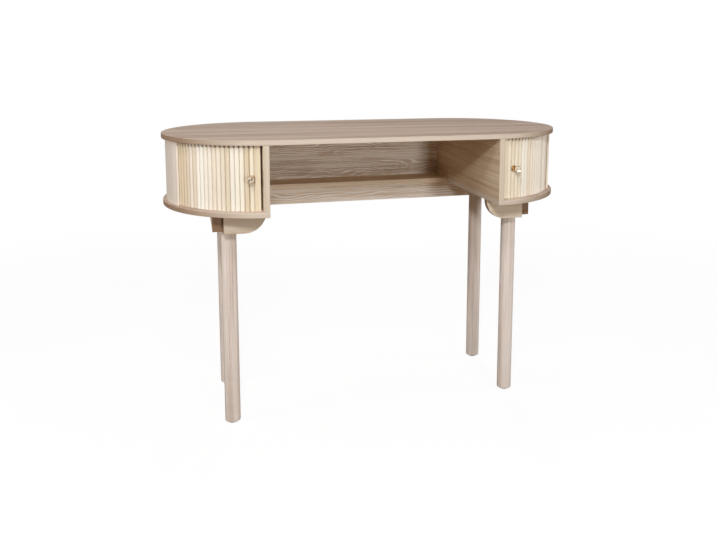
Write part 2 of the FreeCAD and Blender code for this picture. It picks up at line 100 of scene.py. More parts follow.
# Slats: noise along and across them, their width at the crests, and the numbers that draw their tones
SLAT_FIBRE_MM = (120.0, 1.6)
SLAT_STREAK_MM = (420.0, 4.0)
SLAT_NOISE_SHARE = 0.5
SLAT_PITCH_MM = 12.0
SLATS = 20
SLAT_SEED = {"left": 290.78, "right": 6.02}
SLAT_STOPS = ((0.0, "#E4D8C5"), (0.3, "#F0E8DB"), (0.6, "#F8F3EA"), (1.0, "#FEFCF8"))
# Lowest and highest sum of a stick's own tone and its noise
SLAT_TONE_LOW = 0.4
SLAT_TONE_HIGH = 1.6
# Tint of the sticks along a door, from the knob to the far end
SLAT_DRIFT = (
    (0.08, "#FBF6EA"),
    (0.20, "#FCFAF3"),
    (0.38, "#F8F1E7"),
    (0.55, "#FDFCF9"),
    (0.70, "#FAF6F0"),
    (0.85, "#EADDC8"),
)
# Painted shade in the joints between slats: where it starts, as a share of a slat's width off its middle, its
# tone and strength
PAINTED_VALLEY_SHADE_FROM = 0.36
PAINTED_VALLEY_SHADE_TONE = "#A98C68"
PAINTED_VALLEY_SHADE_SHARE = 0.4
# Painted shadow of the top's overhang, as notches under the top: how far it reaches down, how much the joints
# draw it, its limits, tone and strength
PAINTED_SHADOW_MM = 14.0
PAINTED_SHADOW_PULL = 1.2
PAINTED_SHADOW_FROM = 0.95
PAINTED_SHADOW_FULL = 1.15
PAINTED_SHADOW_TONE = "#5A3D24"
PAINTED_SHADOW_SHARE = 0.8

# Patterns of the other finishes, in mm
FLECK_MM = (9.0, 1.5)
TARNISH_MM = 4.0
SWIRL_MM = 6.0
MOTTLING_MM = 4.0
# Nylon's grit, zinc's crystals and the canvas threads, 1 mm apart, are drawn coarser, so that they show
GRIT_MM = 1.2
CRYSTAL_MM = 2.0
THREAD_STEP_MM = 2.0


def linear(code):
    """An sRGB hex colour as linear RGBA."""
    channels = [int(code[start:start + 2], 16) / 255 for start in (1, 3, 5)]
    return [c / 12.92 if c <= 0.04045 else ((c + 0.055) / 1.055) ** 2.4 for c in channels] + [1.0]


def add(tree, kind, links=None, stops=(), **settings):
    """Adds a node with its settings; a link is a value, a socket, or a node by its first live output."""
    node = tree.nodes.new(kind)
    for name, value in settings.items():
        setattr(node, name, value)
    for number, (place, code) in enumerate(stops):
        elements = node.color_ramp.elements
        element = elements[number] if number < 2 else elements.new(place)
        element.position = place
        element.color = linear(code)
    for socket, value in (links or {}).items():
        if isinstance(value, bpy.types.Node):
            value = next(output for output in value.outputs if output.enabled)
        if isinstance(value, bpy.types.NodeSocket):
            tree.links.new(value, node.inputs[socket])
        else:
            node.inputs[socket].default_value = value
    return node


def new_material(name):
    """An empty material: itself, its node tree and its node of coordinates."""
    material = bpy.data.materials.new(name)
    material.use_nodes = True
    tree = material.node_tree
    tree.nodes.clear()
    return material, tree, add(tree, "ShaderNodeTexCoord")


def scale_along(axes, along_mm, across_mm):
    """Scale that makes a pattern along_mm long on some axes and across_mm wide on the others."""
    return [1 / ((along_mm if axis in axes else across_mm) * MM) for axis in AXES]


def edge_mask(tree, source, grain, across, veneered):
    """1 on the edges of a veneered board, or on the ends of a solid piece, and 0 elsewhere."""
    turned = add(tree, "ShaderNodeSeparateXYZ", {"Vector": source.outputs["Normal"]})
    thickness = AXES.replace(grain, "").replace(across, "")
    facing = turned.outputs[thickness if veneered else grain]
    squareness = add(tree, "ShaderNodeMath", {0: facing}, operation="ABSOLUTE")
    side_test = "LESS_THAN" if veneered else "GREATER_THAN"
    return add(tree, "ShaderNodeMath", {0: squareness, 1: SQUARE_ENOUGH}, operation=side_test)


def ring_lines(tree, place, grain, across, strength):
    """Even growth rings that a long soft noise bends into waves and arches, as lines of some strength."""
    scale = scale_along(grain, *OAK_WAVER_MM)
    stretched = add(tree, "ShaderNodeMapping", {"Vector": place, "Scale": scale})
    waver = add(tree, "ShaderNodeTexNoise", {"Vector": stretched, "Scale": 1.0, "Detail": 2.0})
    bent = add(tree, "ShaderNodeMath", {0: waver, 1: OAK_WAVER_RINGS}, operation="MULTIPLY")
    level = add(tree, "ShaderNodeSeparateXYZ", {"Vector": place}).outputs[across]
    ends = {0: level, 1: 1 / (OAK_RING_MM * MM), 2: bent}
    rings = add(tree, "ShaderNodeMath", ends, operation="MULTIPLY_ADD")
    turns = add(tree, "ShaderNodeMath", {0: rings, 1: math.tau}, operation="MULTIPLY")
    wave = add(tree, "ShaderNodeMath", {0: turns}, operation="SINE")
    ends = {"Value": wave, "From Min": RING_LINE_FROM, "From Max": 1.0, "To Min": 0.0, "To Max": strength}
    return add(tree, "ShaderNodeMapRange", ends)


def bent_share(tree, place, grain, bent_from):
    """How far the banding is browned, growing along the grain from bent_from to both ends."""
    reach = add(tree, "ShaderNodeSeparateXYZ", {"Vector": place}).outputs[grain]
    reach = add(tree, "ShaderNodeMath", {0: reach}, operation="ABSOLUTE")
    bent_to = bent_from + BEND_LENGTH_MM * MM
    ends = {"Value": reach, "From Min": bent_from, "From Max": bent_to, "To Min": 0.0, "To Max": BENT_SHARE}
    return add(tree, "ShaderNodeMapRange", ends)


def limed_wood(name, grain, across, tones, band=None, figure=0.0, bent_from=None):
    """Oak, or a wood with like grain, under white lime and matt lacquer: it shows long streaks, fine fibre,
    pale pores and wavering growth rings.

    The grain and across axes span the broad face. A board with a band tone is veneered: its edge banding
    leans to that tone, has its streaks along the band, and is browner beyond bent_from, where it is bent
    round the ends. A solid piece has darker end grain.
    """
    veneered = bool(band)
    material, tree, source = new_material(name)
    place = source.outputs["Object"]
    on_edge = edge_mask(tree, source, grain, across, veneered)
    total = 0.0
    layers = {}
    for layer, (along_mm, across_mm, detail, share) in OAK_LAYERS.items():
        scale = scale_along(grain, along_mm, across_mm)
        grained = add(tree, "ShaderNodeMapping", {"Vector": place, "Scale": scale})
        if veneered:
            scale = scale_along(grain + across, along_mm, min(across_mm, BAND_STREAK_MM))
            banded = add(tree, "ShaderNodeMapping", {"Vector": place, "Scale": scale})
            ends = {"Factor": on_edge, "A": grained, "B": banded}
            grained = add(tree, "ShaderNodeMix", ends, data_type="VECTOR")
        settings = {"Vector": grained, "Scale": 1.0, "Detail": detail, "Roughness": OAK_NOISE_ROUGHNESS}
        layers[layer] = add(tree, "ShaderNodeTexNoise", settings)
        total = add(tree, "ShaderNodeMath", {0: layers[layer], 1: share, 2: total}, operation="MULTIPLY_ADD")
    if figure:
        # Lime fills the rings in broken lines, on the broad faces only
        on_face = add(tree, "ShaderNodeMath", {0: 1.0, 1: on_edge}, operation="SUBTRACT")
        fibre = {"Value": layers["fibre"], "From Min": RING_FILL_LOW, "From Max": RING_FILL_HIGH}
        filled = add(tree, "ShaderNodeMapRange", {**fibre, "To Min": 0.0, "To Max": figure})
        strength = add(tree, "ShaderNodeMath", {0: on_face, 1: filled}, operation="MULTIPLY")
        lines = ring_lines(tree, place, grain, across, strength)
        total = add(tree, "ShaderNodeMath", {0: total, 1: lines}, operation="ADD")
    shade = add(tree, "ShaderNodeValToRGB", {"Fac": total}, stops=tones)
    # Lime stays in the open pores
    scale = scale_along(grain, *OAK_PORE_MM)
    stretched = add(tree, "ShaderNodeMapping", {"Vector": place, "Scale": scale})
    pores = add(tree, "ShaderNodeTexNoise", {"Vector": stretched, "Scale": 1.0, "Detail": 1.0})
    ends = {"Value": pores, "From Min": PORE_FROM, "From Max": PORE_FULL, "To Max": PORE_LIME_SHARE}
    limed = add(tree, "ShaderNodeMapRange", ends)
    lightest = tones[-1][1]
    ends = {"Factor": limed, "A": shade, "B": linear(lightest)}
    shade = add(tree, "ShaderNodeMix", ends, data_type="RGBA")
    # Edge banding or end grain
    ends = {0: on_edge, 1: BAND_SHARE if veneered else END_GRAIN_SHARE}
    edge_share = add(tree, "ShaderNodeMath", ends, operation="MULTIPLY")
    ends = {"Factor": edge_share, "A": shade, "B": linear(band or END_GRAIN)}
    shade = add(tree, "ShaderNodeMix", ends, data_type="RGBA")
    if bent_from:
        browned = {0: bent_share(tree, place, grain, bent_from), 1: on_edge}
        browned = add(tree, "ShaderNodeMath", browned, operation="MULTIPLY")
        ends = {"Factor": browned, "A": shade, "B": linear(BENT_BAND)}
        shade = add(tree, "ShaderNodeMix", ends, data_type="RGBA")
    # Lacquer dulls in the dark streaks, fibre stands up a little, and the pores are sunk
    streak = {"Value": layers["streak"], "From Min": NOISE_LOW, "From Max": NOISE_HIGH}
    gloss = add(tree, "ShaderNodeMapRange", {**streak, "To Min": 0.86, "To Max": 0.74})
    height = add(tree, "ShaderNodeMath", {0: layers["fibre"], 1: limed}, operation="SUBTRACT")
    bump = add(tree, "ShaderNodeBump", {"Height": height, "Strength": 0.25, "Distance": 0.25 * MM})
    settings = {"Base Color": shade, "Roughness": gloss, "Normal": bump, "Specular IOR Level": 0.1}
    shader = add(tree, "ShaderNodeBsdfPrincipled", settings)
    add(tree, "ShaderNodeOutputMaterial", {"Surface": shader})
    return material


def turn_of(point, outward):
    """Turn of a point round a door's axis, from straight ahead towards the desk's end."""
    return math.atan2(outward * point.x, -point.y)


def arc_of(side):
    """A door's arc, read from its slats: axis, sign of its side, crest radius and turn of its first edge."""
    joint = next(joint for joint in frame["joints"] if joint["name"] == side + "_tambour")
    axis = Vector(joint["pos_m"]).xy
    outward = -1 if side == "left" else 1
    points = [vertex.co.xy - axis for vertex in nodes[side + "_slats"].data.vertices]
    crest = max(point.length for point in points)
    first = min(turn_of(point, outward) for point in points)
    return axis, outward, crest, first


def birch_slats(side):
    """Half-round birch slats, each from another stick: own tone, upright fibre, painted shade in the joints.

    The sticks were laid out by tone: yellow ones beside the knob, then white ones, and tan ones at the
    far end. Under the top a painted shadow of its overhang, deepest in the joints, makes a row of dark
    notches.
    """
    axis, outward, crest, first = arc_of(side)
    material, tree, source = new_material("limed_birch_slats_" + side)
    shift = (-axis.x, -axis.y, 0.0)
    centred = add(tree, "ShaderNodeMapping", {"Vector": source.outputs["Object"], "Location": shift})
    parts = add(tree, "ShaderNodeSeparateXYZ", {"Vector": centred})
    across = add(tree, "ShaderNodeMath", {0: parts.outputs["X"], 1: outward}, operation="MULTIPLY")
    ahead = add(tree, "ShaderNodeMath", {0: parts.outputs["Y"], 1: -1.0}, operation="MULTIPLY")
    angle = add(tree, "ShaderNodeMath", {0: across, 1: ahead}, operation="ARCTAN2")
    past_first = add(tree, "ShaderNodeMath", {0: angle, 1: first}, operation="SUBTRACT")
    slat_turn = SLAT_PITCH_MM * MM / crest
    count = add(tree, "ShaderNodeMath", {0: past_first, 1: slat_turn}, operation="DIVIDE")
    number = add(tree, "ShaderNodeMath", {0: count}, operation="FLOOR")
    within = add(tree, "ShaderNodeMath", {0: count}, operation="FRACT")
    off_middle = add(tree, "ShaderNodeMath", {0: within, 1: 0.5}, operation="SUBTRACT")
    off_middle = add(tree, "ShaderNodeMath", {0: off_middle}, operation="ABSOLUTE")
    pick = add(tree, "ShaderNodeMath", {0: number, 1: SLAT_SEED[side]}, operation="MULTIPLY")
    tone = add(tree, "ShaderNodeTexWhiteNoise", {"W": pick}, noise_dimensions="1D")
    layers = []
    for size_mm in (SLAT_STREAK_MM, SLAT_FIBRE_MM):
        scale = scale_along("Z", *size_mm)
        stretched = add(tree, "ShaderNodeMapping", {"Vector": source.outputs["Object"], "Scale": scale})
        settings = {"Vector": stretched, "W": pick, "Scale": 1.0, "Detail": 2.0}
        layers.append(add(tree, "ShaderNodeTexNoise", settings, noise_dimensions="4D"))
        ends = {0: layers[-1], 1: SLAT_NOISE_SHARE, 2: tone}
        tone = add(tree, "ShaderNodeMath", ends, operation="MULTIPLY_ADD")
    streak, fibre = layers
    ends = {"Value": tone, "From Min": SLAT_TONE_LOW, "From Max": SLAT_TONE_HIGH}
    even = add(tree, "ShaderNodeMapRange", ends)
    shade = add(tree, "ShaderNodeValToRGB", {"Fac": even}, stops=SLAT_STOPS)
    along = add(tree, "ShaderNodeMapRange", {"Value": number, "From Min": 0.0, "From Max": SLATS})
    drift = add(tree, "ShaderNodeValToRGB", {"Fac": along}, stops=SLAT_DRIFT)
    ends = {"Factor": 1.0, "A": shade, "B": drift}
    shade = add(tree, "ShaderNodeMix", ends, data_type="RGBA", blend_type="MULTIPLY")
    # Painted shade: darker towards each joint between the half-round slats
    ends = {"Value": off_middle, "From Min": PAINTED_VALLEY_SHADE_FROM, "From Max": 0.5, "To Max": PAINTED_VALLEY_SHADE_SHARE}
    painted_joint_shade = add(tree, "ShaderNodeMapRange", ends)
    ends = {"Factor": painted_joint_shade, "A": shade, "B": linear(PAINTED_VALLEY_SHADE_TONE)}
    shade = add(tree, "ShaderNodeMix", ends, data_type="RGBA")
    # Painted shadow of the top's overhang: darker near the top, reaching lower in the joints as notches
    under_top = min(vertex.co.z for vertex in nodes["top_board"].data.vertices)
    ends = {"Value": parts.outputs["Z"], "From Min": under_top - PAINTED_SHADOW_MM * MM, "From Max": under_top}
    near_top = add(tree, "ShaderNodeMapRange", ends)
    ends = {0: off_middle, 1: PAINTED_SHADOW_PULL, 2: near_top}
    painted_shadow = add(tree, "ShaderNodeMath", ends, operation="MULTIPLY_ADD")
    ends = {"Value": painted_shadow, "From Min": PAINTED_SHADOW_FROM, "From Max": PAINTED_SHADOW_FULL, "To Max": PAINTED_SHADOW_SHARE}
    painted_shadow = add(tree, "ShaderNodeMapRange", ends)
    ends = {"Factor": painted_shadow, "A": shade, "B": linear(PAINTED_SHADOW_TONE)}
    shade = add(tree, "ShaderNodeMix", ends, data_type="RGBA")
    ends = {"Value": streak, "From Min": NOISE_LOW, "From Max": NOISE_HIGH, "To Min": 0.62, "To Max": 0.48}
    gloss = add(tree, "ShaderNodeMapRange", ends)
    bump = add(tree, "ShaderNodeBump", {"Height": fibre, "Strength": 0.2, "Distance": 0.2 * MM})
    settings = {"Base Color": shade, "Roughness": gloss, "Normal": bump, "Specular IOR Level": 0.15}
    shader = add(tree, "ShaderNodeBsdfPrincipled", settings)
    add(tree, "ShaderNodeOutputMaterial", {"Surface": shader})
    return material


def beech_dowel():
    """Bare beech rod: even pinkish wood with short dark flecks along it."""
    material, tree, source = new_material("bare_beech")
    scale = scale_along("Z", *FLECK_MM)
    stretched = add(tree, "ShaderNodeMapping", {"Vector": source.outputs["Object"], "Scale": scale})
    flecks = add(tree, "ShaderNodeTexNoise", {"Vector": stretched, "Scale": 1.0, "Detail": 2.0})
    stops = ((0.35, "#B98F66"), (0.55, "#CDA77E"), (0.75, "#D8B892"))
    shade = add(tree, "ShaderNodeValToRGB", {"Fac": flecks}, stops=stops)
    bump = add(tree, "ShaderNodeBump", {"Height": flecks, "Strength": 0.2, "Distance": 0.2 * MM})
    shader = add(tree, "ShaderNodeBsdfPrincipled", {"Base Color": shade, "Roughness": 0.62, "Normal": bump})
    add(tree, "ShaderNodeOutputMaterial", {"Surface": shader})
    return material


def antique_brass():
    """Turned brass left to tarnish: warm gold where it is rubbed, brown in patches a few millimetres wide."""
    material, tree, source = new_material("antique_brass")
    settings = {"Vector": source.outputs["Object"], "Scale": 1 / (TARNISH_MM * MM), "Detail": 4.0}
    tarnish = add(tree, "ShaderNodeTexNoise", settings)
    stops = ((0.32, "#7A5636"), (0.52, "#AC8556"), (0.72, "#D2B07C"))
    shade = add(tree, "ShaderNodeValToRGB", {"Fac": tarnish}, stops=stops)
    ends = {"Value": tarnish, "From Min": NOISE_LOW, "From Max": NOISE_HIGH, "To Min": 0.42, "To Max": 0.2}
    gloss = add(tree, "ShaderNodeMapRange", ends)
    shader = add(tree, "ShaderNodeBsdfPrincipled", {"Base Color": shade, "Metallic": 1.0, "Roughness": gloss})
    add(tree, "ShaderNodeOutputMaterial", {"Surface": shader})
    return material


def cut_glass():
    """Clear pressed glass with polished facets: sharp glints, and faint swirls that warm its tint."""
    material, tree, source = new_material("cut_glass")
    settings = {"Scale": 1 / (SWIRL_MM * MM), "Detail": 2.0, "Distortion": 1.5}
    swirls = add(tree, "ShaderNodeTexNoise", {"Vector": source.outputs["Object"], **settings})
    stops = ((0.35, "#D9CAB2"), (0.65, "#F6EEE2"))
    tint = add(tree, "ShaderNodeValToRGB", {"Fac": swirls}, stops=stops)
    ends = {"Value": swirls, "From Min": NOISE_LOW, "From Max": NOISE_HIGH, "To Min": 0.02, "To Max": 0.07}
    gloss = add(tree, "ShaderNodeMapRange", ends)
    settings = {"Base Color": tint, "Roughness": gloss, "IOR": 1.52, "Transmission Weight": 1.0}
    shader = add(tree, "ShaderNodeBsdfPrincipled", settings)
    add(tree, "ShaderNodeOutputMaterial", {"Surface": shader})
    return material


def silvered_back():
    """Silvering on the back of the glass: a bright mirror with the brown mottling of an ageing coat."""
    material, tree, source = new_material("silvered_back")
    settings = {"Vector": source.outputs["Object"], "Scale": 1 / (MOTTLING_MM * MM), "Detail": 1.0}
    mottling = add(tree, "ShaderNodeTexNoise", settings)
    stops = ((0.38, "#8A7257"), (0.52, "#FFF8EE"))
    shade = add(tree, "ShaderNodeValToRGB", {"Fac": mottling}, stops=stops)
    ends = {"Value": mottling, "From Min": NOISE_LOW, "From Max": NOISE_HIGH, "To Min": 0.16, "To Max": 0.06}
    gloss = add(tree, "ShaderNodeMapRange", ends)
    shader = add(tree, "ShaderNodeBsdfPrincipled", {"Base Color": shade, "Metallic": 1.0, "Roughness": gloss})
    add(tree, "ShaderNodeOutputMaterial", {"Surface": shader})
    return material


def zinc_steel():
    """Zinc-plated steel: a grey metal with the mottled crystals of its plating."""
    material, tree, source = new_material("zinc_plated_steel")
    settings = {"Vector": source.outputs["Object"], "Scale": 1 / (CRYSTAL_MM * MM)}
    crystals = add(tree, "ShaderNodeTexVoronoi", settings)
    stops = ((0.0, "#85888A"), (0.6, "#A0A2A1"), (1.0, "#B8B6AF"))
    shade = add(tree, "ShaderNodeValToRGB", {"Fac": crystals}, stops=stops)
    ends = {"Value": crystals, "From Min": 0.0, "From Max": 0.8, "To Min": 0.28, "To Max": 0.42}
    gloss = add(tree, "ShaderNodeMapRange", ends)
    shader = add(tree, "ShaderNodeBsdfPrincipled", {"Base Color": shade, "Metallic": 1.0, "Roughness": gloss})
    add(tree, "ShaderNodeOutputMaterial", {"Surface": shader})
    return material


def cotton_canvas(side):
    """Plain-woven cotton canvas: crossing threads that follow the door's arc, with a soft matt relief."""
    axis, _, crest, _ = arc_of(side)
    material, tree, source = new_material("cotton_canvas_" + side)
    shift = (-axis.x, -axis.y, 0.0)
    centred = add(tree, "ShaderNodeMapping", {"Vector": source.outputs["Object"], "Location": shift})
    parts = add(tree, "ShaderNodeSeparateXYZ", {"Vector": centred})
    angle = add(tree, "ShaderNodeMath", {0: parts.outputs["X"], 1: parts.outputs["Y"]}, operation="ARCTAN2")
    threads = math.pi / (THREAD_STEP_MM * MM)
    weave = 1.0
    for place, turns in ((angle, crest * threads), (parts.outputs["Z"], threads)):
        phase = add(tree, "ShaderNodeMath", {0: place, 1: turns}, operation="MULTIPLY")
        thread = add(tree, "ShaderNodeMath", {0: phase}, operation="SINE")
        weave = add(tree, "ShaderNodeMath", {0: weave, 1: thread}, operation="MULTIPLY")
    height = add(tree, "ShaderNodeMapRange", {"Value": weave, "From Min": -1.0, "From Max": 1.0})
    stops = ((0.0, "#B7AA8E"), (0.5, "#CFC4AB"), (1.0, "#E0D8C4"))
    shade = add(tree, "ShaderNodeValToRGB", {"Fac": height}, stops=stops)
    bump = add(tree, "ShaderNodeBump", {"Height": height, "Strength": 0.5, "Distance": 0.3 * MM})
    shader = add(tree, "ShaderNodeBsdfPrincipled", {"Base Color": shade, "Roughness": 0.9, "Normal": bump})
    add(tree, "ShaderNodeOutputMaterial", {"Surface": shader})
    return material


def moulded_nylon():
    """Black-brown moulded nylon: satin, with a fine grit that dulls it unevenly."""
    material, tree, source = new_material("moulded_nylon")
    settings = {"Vector": source.outputs["Object"], "Scale": 1 / (GRIT_MM * MM), "Detail": 2.0}
    grit = add(tree, "ShaderNodeTexNoise", settings)
    stops = ((0.3, "#2B2623"), (0.7, "#3B3430"))
    shade = add(tree, "ShaderNodeValToRGB", {"Fac": grit}, stops=stops)
    ends = {"Value": grit, "From Min": NOISE_LOW, "From Max": NOISE_HIGH, "To Min": 0.42, "To Max": 0.6}
    gloss = add(tree, "ShaderNodeMapRange", ends)
    bump = add(tree, "ShaderNodeBump", {"Height": grit, "Strength": 0.2, "Distance": 0.1 * MM})
    shader = add(tree, "ShaderNodeBsdfPrincipled", {"Base Color": shade, "Roughness": gloss, "Normal": bump})
    add(tree, "ShaderNodeOutputMaterial", {"Surface": shader})
    return material


def on_sides(kind):
    """Names of the left and the right node of a kind."""
    return [side + "_" + kind for side in SIDES]


def on_corners(kind):
    """Names of the four nodes of a kind, one at each corner."""
    return [corner + "_" + kind for corner in CORNERS]


def dress(material, *names):
    """Gives CAD nodes a material."""
    for name in names:
        mesh = nodes[name].data
        mesh.materials.clear()
        mesh.materials.append(material)


# Tones of the wood from dark to light, each with its place on the scale of the summed noise
BOARD_TONES = ((0.40, "#C0A493"), (0.50, "#D8BFAD"), (0.60, "#E9DACB"))
SHELF_TONES = ((0.40, "#C6AC8F"), (0.52, "#E6D0B4"), (0.68, "#FAECD8"))
SIDE_TONES = ((0.36, "#C4A98A"), (0.50, "#D8C0A3"), (0.64, "#E9D9C3"))
BACK_TONES = ((0.40, "#B29B86"), (0.52, "#DAC6B1"), (0.72, "#FFFCF5"))
RAIL_TONES = ((0.40, "#D3BEA7"), (0.52, "#F5E8D8"), (0.76, "#FFFEFC"))
SOLID_TONES = ((0.38, "#C9B59C"), (0.50, "#DAC9B4"), (0.66, "#E8DCCB"))
PANEL_TONES = ((0.38, "#E6D9C8"), (0.50, "#F2E7DA"), (0.64, "#FAF3E9"))
LEG_TONES = ((0.38, "#D0BEB0"), (0.50, "#EDE0D7"), (0.62, "#FBF3ED"))
LEAD_TONES = ((0.36, "#DDCCAF"), (0.50, "#EADDC6"), (0.64, "#F3EADA"))
BOARD_BAND = "#D9CFC0"
SHELF_BAND = "#F7E7D0"

bend_start = arc_of("right")[0].x + BEND_START_MM * MM
board = limed_wood("limed_oak_board", "X", "Y", BOARD_TONES, BOARD_BAND, figure=0.12, bent_from=bend_start)
dress(board, "top_board", *on_sides("bottom_board"))
dress(limed_wood("limed_oak_shelf", "X", "Y", SHELF_TONES, SHELF_BAND, figure=0.1), "centre_shelf")
dress(limed_wood("limed_oak_back", "X", "Z", BACK_TONES, BOARD_BAND, figure=0.5), "back_panel")
inner_side = limed_wood("limed_oak_side", "Y", "Z", SIDE_TONES, BOARD_BAND, figure=0.08)
dress(inner_side, *on_sides("inner_side"))
dress(limed_wood("limed_oak_bent_panel", "Z", "X", PANEL_TONES), *on_sides("end_panel"))
dress(limed_wood("limed_oak_side_rail", "Y", "Z", SOLID_TONES), *on_sides("rail"))
dress(limed_wood("limed_oak_rear_rail", "X", "Z", RAIL_TONES, figure=0.7), "rear_rail")
brackets = ["front_" + name for name in on_sides("bracket")]
dress(limed_wood("limed_oak_bracket", "X", "Z", SOLID_TONES), *brackets)
dress(limed_wood("turned_ash_leg", "Z", "X", LEG_TONES), *on_corners("leg"))
dress(limed_wood("limed_birch_lead", "Z", "X", LEAD_TONES), *on_sides("lead_rail"))
dress(beech_dowel(), "top_dowels", "panel_dowels", "shelf_dowels", *on_sides("door_stop"))
frame_screws = ("bracket_screws", "leg_bolts", "leg_screws", "rail_screws", "shelf_screws", "side_screws")
dress(zinc_steel(), *frame_screws, *on_sides("knob_screw"))
dress(moulded_nylon(), *on_corners("glide"))
for side in SIDES:
    dress(birch_slats(side), side + "_slats")
brass = antique_brass()
glass = cut_glass()
silvering = silvered_back()


def knob_place(side):
    """Matrix from a knob's own frame, with Z out from the slat's crest, to its place on the door."""
    axis, _, crest, _ = arc_of(side)
    points = [vertex.co for vertex in nodes[side + "_knob"].data.vertices]
    middle = sum(points, Vector()) / len(points)
    outward = (middle.xy - axis).normalized().to_3d()
    foot = axis.to_3d() + outward * crest
    foot.z = middle.z
    sideways = UP.cross(outward)
    return Matrix.Translation(foot) @ Matrix((sideways, UP, outward)).transposed().to_4x4()


# Points nearer than this are one point
MERGE_MM = 0.001


def piece(name, bm, materials, body, replaced):
    """Turns a finished bmesh into a piece that rides on a body and stands for a CAD node."""
    bmesh.ops.remove_doubles(bm, verts=bm.verts, dist=MERGE_MM * MM)
    bmesh.ops.recalc_face_normals(bm, faces=bm.faces)
    mesh = bpy.data.meshes.new(name)
    bm.to_mesh(mesh)
    bm.free()
    for material in materials:
        mesh.materials.append(material)
    made = bpy.data.objects.new(name, mesh)
    bpy.context.scene.collection.objects.link(made)
    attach(made, body)
    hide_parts(replaced)
    return made


# Turned profile of a knob's collar as radius and height in mm: flange, bead, neck, cup and lip
COLLAR_PROFILE_MM = (
    (0.0, 0.0),
    (8.1, 0.0),
    (8.5, 0.4),
    (8.5, 1.2),
    (8.0, 1.8),
    (6.6, 2.2),
    (6.2, 2.6),
    (6.3, 3.1),
    (5.7, 3.7),
    (4.2, 4.1),
    (3.4, 5.4),
    (3.1, 7.2),
    (3.2, 8.6),
    (3.7, 9.4),
    (3.9, 10.2),
    (3.5, 10.8),
    (3.4, 11.9),
    (0.0, 11.9),
)
COLLAR_STEPS = 40


def knob_collar(side):
    """Turned collar: a flange on the slat, a bead, a waisted neck and a cup for the head."""
    bm = bmesh.new()
    points = [bm.verts.new((radius * MM, 0, height * MM)) for radius, height in COLLAR_PROFILE_MM]
    edges = [bm.edges.new(pair) for pair in zip(points, points[1:])]
    bmesh.ops.spin(
        bm, geom=points + edges, cent=(0, 0, 0), axis=UP, angle=math.tau, steps=COLLAR_STEPS, use_merge=True
    )
    for face in bm.faces:
        face.smooth = True
    bmesh.ops.transform(bm, matrix=knob_place(side), verts=bm.verts)
    piece(side + "_turned_collar", bm, [brass], side + "_door", side + "_knob_collar")


# Rings of a cut head as diameter and height in mm and turn in facets, where half a facet makes a star
HEAD_FACETS = 8
HEAD_RINGS_MM = (
    (6.8, 12.0, 0.5),
    (19.8, 16.6, 0.5),
    (19.8, 17.8, 0.5),
    (16.4, 21.6, 0.0),
    (11.6, 24.2, 0.5),
    (7.4, 25.4, 0.0),
)
HEAD_TABLE_RISE_MM = 0.3
HEAD_TABLE_INSET_MM = 0.8
HEAD_BEVEL_MM = 0.25


def cut_head(side):
    """Cut glass head: a silvered back, facets that widen to a girdle, and a crown round a raised table."""
    bm = bmesh.new()
    rings = []
    for diameter, height, turn in HEAD_RINGS_MM:
        spin = Matrix.Rotation(math.tau / HEAD_FACETS * turn, 4, "Z")
        lift = Matrix.Translation((0, 0, height * MM))
        made = bmesh.ops.create_circle(
            bm, segments=HEAD_FACETS, radius=diameter / 2 * MM, cap_ends=False, matrix=lift @ spin
        )
        rings.append(list({edge for vert in made["verts"] for edge in vert.link_edges}))
    for low, high in zip(rings, rings[1:]):
        bmesh.ops.bridge_loops(bm, edges=low + high)
    bmesh.ops.contextual_create(bm, geom=rings[0])
    for edge in rings[0]:
        for face in edge.link_faces:
            face.material_index = 1
    table = bmesh.ops.contextual_create(bm, geom=rings[-1])["faces"]
    bmesh.ops.inset_region(
        bm, faces=table, thickness=HEAD_TABLE_INSET_MM * MM, depth=HEAD_TABLE_RISE_MM * MM
    )
    bmesh.ops.triangulate(bm, faces=[face for face in bm.faces if len(face.verts) == 4])
    bmesh.ops.bevel(
        bm, geom=bm.edges, offset=HEAD_BEVEL_MM * MM, offset_type="OFFSET", affect="EDGES", segments=1,
        profile=0.5, material=-1,
    )
    bmesh.ops.transform(bm, matrix=knob_place(side), verts=bm.verts)
    piece(side + "_cut_head", bm, [glass, silvering], side + "_door", side + "_knob")


CANVAS_STEPS_PER_SLAT = 3


def backing_canvas(side):
    """Canvas glued behind a door's slats: one sheet bent round the door's arc, where the CAD sheet is."""
    axis, outward, _, _ = arc_of(side)
    points = [vertex.co for vertex in nodes[side + "_canvas"].data.vertices]
    reaches = [(point.xy - axis).length for point in points]
    turns = [turn_of(point.xy - axis, outward) for point in points]
    heights = [point.z for point in points]
    inner, outer = min(reaches), max(reaches)
    low, high = min(heights), max(heights)
    first = min(turns)
    arc = max(turns) - first
    centre = axis.to_3d()
    ahead = Vector((outward * math.sin(first), -math.cos(first), 0))
    bm = bmesh.new()
    for reach, height in ((inner, low), (outer, low), (outer, high), (inner, high)):
        bm.verts.new(centre + ahead * reach + UP * height)
    bmesh.ops.contextual_create(bm, geom=bm.verts)
    section = [*bm.verts, *bm.edges, *bm.faces]
    steps = CANVAS_STEPS_PER_SLAT * SLATS
    bmesh.ops.spin(bm, geom=section, cent=centre, axis=UP, angle=outward * arc, steps=steps)
    name = side + "_glued_canvas"
    sheet = piece(name, bm, [cotton_canvas(side)], side + "_door", side + "_canvas")


for side in SIDES:
    knob_collar(side)
    cut_head(side)
    backing_canvas(side)

# Studio: half the floor's side and where it turns plain white, in metres, and the tones of its light
FLOOR_HALF_SIZE = 14.0
FLOOR_NEAR = 1.4
FLOOR_FAR = 2.6
FLOOR_PALENESS = 0.93
FLOOR_SHADOW_TONE = "#595959"
FLOOR_BOUNCE_TONE = "#A08E78"
STUDIO_WHITE = "#FFFFFF"
DIM_TONE = "#FFD2A6"
DIM_STRENGTH = 0.03
